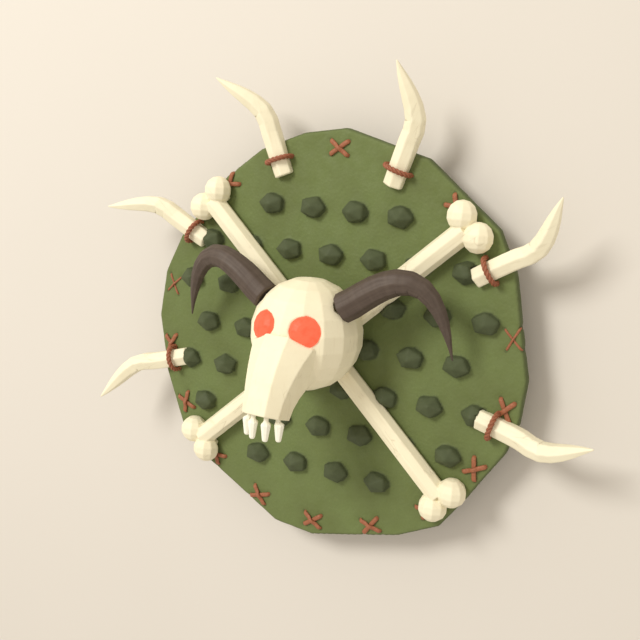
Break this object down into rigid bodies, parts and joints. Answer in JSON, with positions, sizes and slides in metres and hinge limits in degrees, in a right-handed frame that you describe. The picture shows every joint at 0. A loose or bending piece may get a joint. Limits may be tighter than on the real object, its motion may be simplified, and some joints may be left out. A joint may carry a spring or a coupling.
{
  "type": "buckler shield",
  "caption": "Round hide buckler with crossed long bones under a horned animal skull, lashed tusks curling round the rim, laced crosses, and leather straps behind.",
  "frame": {"origin": "middle of the hide disc's flat back face", "axes": "+Z out of the front face, which is up when the shield lies on its back; +Y to the shield's top; +X to the right as the front is seen"},
  "size_m": [0.5884, 0.526, 0.1867],
  "materials": {
    "hide": "thick scaly hide, dull olive green with darker knobbly scutes",
    "bone": "dry cream bone, matte, hewn in broad facets",
    "tusk": "cream tusk ivory, satin",
    "tooth": "pale enamel, satin gloss",
    "horn": "dark grey-brown horn, satin with growth rings",
    "eye_stone": "polished red-orange stone",
    "lace": "rust-red rawhide lace",
    "lashing": "rust-brown twisted leather cord",
    "strap_leather": "dark brown strap leather, worn at the edges"
  },
  "bodies": {
    "root": {"hide_disc": "hide", "bone_rising": "bone", "bone_falling": "bone", "skull": "bone", "horn_right": "horn", "horn_left": "horn", "eye_right": "eye_stone", "eye_left": "eye_stone", "grip_strap": "strap_leather", "arm_strap": "strap_leather", "lace_cross_1": "lace", "lace_cross_2": "lace", "lace_cross_3": "lace", "lace_cross_4": "lace", "lace_cross_5": "lace", "lace_cross_6": "lace", "lace_cross_7": "lace", "lace_cross_8": "lace", "lace_cross_9": "lace", "lace_cross_10": "lace", "lace_cross_11": "lace", "lace_cross_12": "lace", "lace_cross_13": "lace", "lace_cross_14": "lace", "grip_strap_lacing_top": "lace", "grip_strap_lacing_bottom": "lace", "arm_strap_lacing_top": "lace", "arm_strap_lacing_bottom": "lace", "lashing_1": "lashing", "lashing_2": "lashing", "lashing_3": "lashing", "lashing_4": "lashing", "lashing_5": "lashing", "lashing_6": "lashing", "tusk_1": "tusk", "tusk_2": "tusk", "tusk_3": "tusk", "tusk_4": "tusk", "tusk_5": "tusk", "tusk_6": "tusk", "tooth_1": "tooth", "tooth_2": "tooth", "tooth_3": "tooth", "tooth_4": "tooth"}
  },
  "joints": []
}
